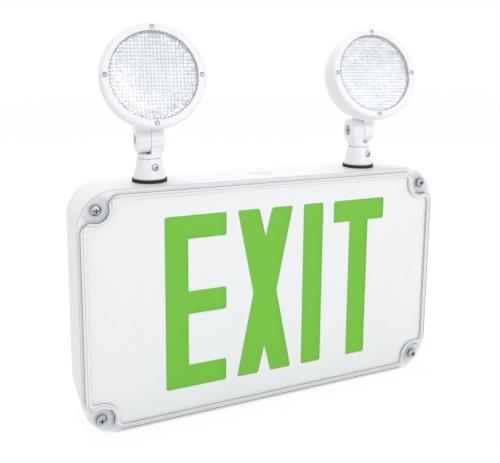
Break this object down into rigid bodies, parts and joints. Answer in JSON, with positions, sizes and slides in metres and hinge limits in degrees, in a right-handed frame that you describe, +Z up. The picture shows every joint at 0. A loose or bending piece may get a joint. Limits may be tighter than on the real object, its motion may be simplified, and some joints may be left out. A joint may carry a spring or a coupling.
{
  "type": "emergency exit light",
  "caption": "Sealed exit sign with green letters behind a clear screwed cover, and round lamp heads on swivels along its top.",
  "frame": {"origin": "centre of the wire-entry hole in the back (wall) face of the housing", "axes": "+Z up, +Y into the wall, so the letters face -Y; +X along the sign, to the right as it is read"},
  "size_m": [0.3466, 0.0703, 0.3376],
  "materials": {
    "battery_sleeve": "shrink sleeve",
    "black_plastic": "moulded",
    "black_rubber": "soft moulded",
    "bright_reflector": "vacuum metallised",
    "circuit_green": "solder mask",
    "clear_polycarbonate": "clear polished",
    "core_steel": "varnished laminations",
    "grey_silicone": "soft moulded",
    "led_board_white": "white solder mask",
    "letter_green": "translucent green",
    "pilot_red": "clear tinted",
    "prismatic_clear": "clear, prismatic inside",
    "red_button": "moulded",
    "stencil_white": "satin",
    "white_plastic": "satin moulded",
    "zinc_steel": "zinc plated"
  },
  "bodies": {
    "sign": {"back_housing": "white_plastic", "battery_pack": "battery_sleeve", "battery_strap": "zinc_steel", "charger_board": "circuit_green", "clear_cover": "clear_polycarbonate", "conduit_plug": "white_plastic", "cover_gasket": "grey_silicone", "cover_screw_1": "zinc_steel", "cover_screw_2": "zinc_steel", "cover_screw_3": "zinc_steel", "cover_screw_4": "zinc_steel", "exit_stencil": "stencil_white", "led_board_bottom": "led_board_white", "led_board_top": "led_board_white", "left_base_gasket": "black_rubber", "left_base_locknut": "zinc_steel", "left_set_screw": "zinc_steel", "left_swivel_base": "white_plastic", "letter_lens": "letter_green", "light_tray": "stencil_white", "pilot_lens": "pilot_red", "right_base_gasket": "black_rubber", "right_base_locknut": "zinc_steel", "right_set_screw": "zinc_steel", "right_swivel_base": "white_plastic", "sealing_washer_1": "zinc_steel", "sealing_washer_2": "zinc_steel", "sealing_washer_3": "zinc_steel", "sealing_washer_4": "zinc_steel", "test_bush": "black_plastic", "test_switch": "black_plastic", "transformer": "core_steel"},
    "left_knuckle": {"left_knuckle": "white_plastic", "left_tilt_screw": "zinc_steel", "left_tilt_nut": "zinc_steel"},
    "left_head": {"left_bezel_screw_1": "zinc_steel", "left_bezel_screw_2": "zinc_steel", "left_bezel_screw_3": "zinc_steel", "left_bezel_screw_4": "zinc_steel", "left_lamp_bezel": "white_plastic", "left_lamp_housing": "white_plastic", "left_lamp_led_board": "led_board_white", "left_lamp_lens": "prismatic_clear", "left_lamp_reflector": "bright_reflector", "left_lens_gasket": "black_rubber"},
    "right_knuckle": {"right_knuckle": "white_plastic", "right_tilt_screw": "zinc_steel", "right_tilt_nut": "zinc_steel"},
    "right_head": {"right_bezel_screw_1": "zinc_steel", "right_bezel_screw_2": "zinc_steel", "right_bezel_screw_3": "zinc_steel", "right_bezel_screw_4": "zinc_steel", "right_lamp_bezel": "white_plastic", "right_lamp_housing": "white_plastic", "right_lamp_led_board": "led_board_white", "right_lamp_lens": "prismatic_clear", "right_lamp_reflector": "bright_reflector", "right_lens_gasket": "black_rubber"},
    "test_button": {"test_button": "red_button"}
  },
  "joints": [
    {"name": "left_pan", "type": "hinge", "parent": "sign", "child": "left_knuckle", "pos_m": [-0.1044, -0.0304, 0.116], "axis": [0, 0, 1], "range_deg": [-84.5, 95.5]},
    {"name": "left_tilt", "type": "hinge", "parent": "left_knuckle", "child": "left_head", "pos_m": [-0.1044, -0.0304, 0.1385], "axis": [-0.9954, 0.0958, 0], "range_deg": [-48.5, 10.5]},
    {"name": "right_pan", "type": "hinge", "parent": "sign", "child": "right_knuckle", "pos_m": [0.1044, -0.0304, 0.116], "axis": [0, 0, 1], "range_deg": [-85, 95]},
    {"name": "right_tilt", "type": "hinge", "parent": "right_knuckle", "child": "right_head", "pos_m": [0.1044, -0.0304, 0.1385], "axis": [-0.9962, 0.0872, 0], "range_deg": [-50.5, 8.5]},
    {"name": "test_press", "type": "slide", "parent": "sign", "child": "test_button", "axis": [-1, 0, 0], "range_m": [0, 0.0025], "stiffness_N_per_m": 400, "springref_m": -0.001}
  ]
}
